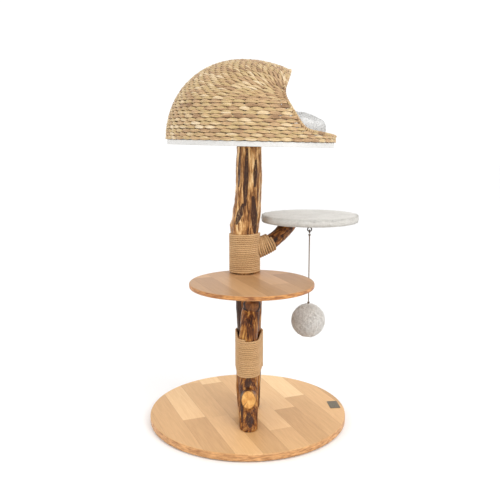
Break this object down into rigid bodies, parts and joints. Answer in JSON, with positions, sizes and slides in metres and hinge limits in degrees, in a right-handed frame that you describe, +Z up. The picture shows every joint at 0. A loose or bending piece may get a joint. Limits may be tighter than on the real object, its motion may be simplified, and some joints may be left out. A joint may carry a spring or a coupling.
{
  "type": "cat tree",
  "caption": "Free-standing cat tree: round board base, natural trunks bound with jute, platform, plush perch with hanging ball, and a hooded woven basket on top.",
  "frame": {"origin": "on the floor below the centre of the round base board", "axes": "+Z up along the trunk, +X towards the plush perch and the basket's mouth, -Y towards the front stem"},
  "size_m": [0.5999, 0.56, 1.0058],
  "materials": {
    "oak_board": "varnished",
    "trunk_wood": "varnished",
    "branch_wood": "satin",
    "plywood": "matte",
    "white_board": "painted",
    "jute": "matte",
    "seagrass": "matte",
    "plush": "matte",
    "foam": "matte",
    "pad_felt": "matte",
    "toy_cord": "matte",
    "plate_metal": "brushed",
    "zinc_steel": "satin",
    "dark_steel": "satin"
  },
  "bodies": {
    "root": {"base_board": "oak_board", "felt_pads": "pad_felt", "label_plate": "plate_metal", "base_lag_screws": "zinc_steel", "base_washers": "zinc_steel", "lower_trunk": "trunk_wood", "front_stem": "trunk_wood", "stem_screw": "zinc_steel", "lower_jute_wrap": "jute", "mid_platform": "oak_board", "platform_stud": "zinc_steel", "platform_screws": "zinc_steel", "upper_trunk": "trunk_wood", "upper_jute_wrap": "jute", "branch_arm": "branch_wood", "arm_jute_wrap": "jute", "arm_lag_screw": "zinc_steel", "arm_washer": "zinc_steel", "perch_board": "plywood", "perch_pad": "foam", "perch_cover": "plush", "perch_screws": "zinc_steel", "screw_eye": "dark_steel", "basket_floor": "white_board", "basket_frame": "dark_steel", "basket_wall": "seagrass", "basket_hood": "seagrass", "rim_binding": "seagrass", "basket_lag_screw": "zinc_steel", "basket_washer": "zinc_steel", "basket_screws": "zinc_steel", "cushion": "plush"},
    "toy_loop": {"toy_loop": "toy_cord"},
    "toy_cord": {"toy_string": "toy_cord", "toy_knots": "toy_cord"},
    "toy_ball": {"toy_core": "foam", "toy_ball": "plush"}
  },
  "joints": [
    {"name": "toy_swing_front", "type": "hinge", "parent": "root", "child": "toy_loop", "pos_m": [0.17901, 0.07805, 0.532], "axis": [1, 0, 0], "range_deg": [-30, 75]},
    {"name": "toy_swing_side", "type": "hinge", "parent": "toy_loop", "child": "toy_cord", "pos_m": [0.17901, 0.07805, 0.5211], "axis": [0, 1, 0], "range_deg": [-75, 18]},
    {"name": "toy_spin", "type": "hinge", "parent": "toy_cord", "child": "toy_ball", "pos_m": [0.17901, 0.07805, 0.266], "axis": [0, 0, 1], "range_deg": [-180, 180]}
  ]
}
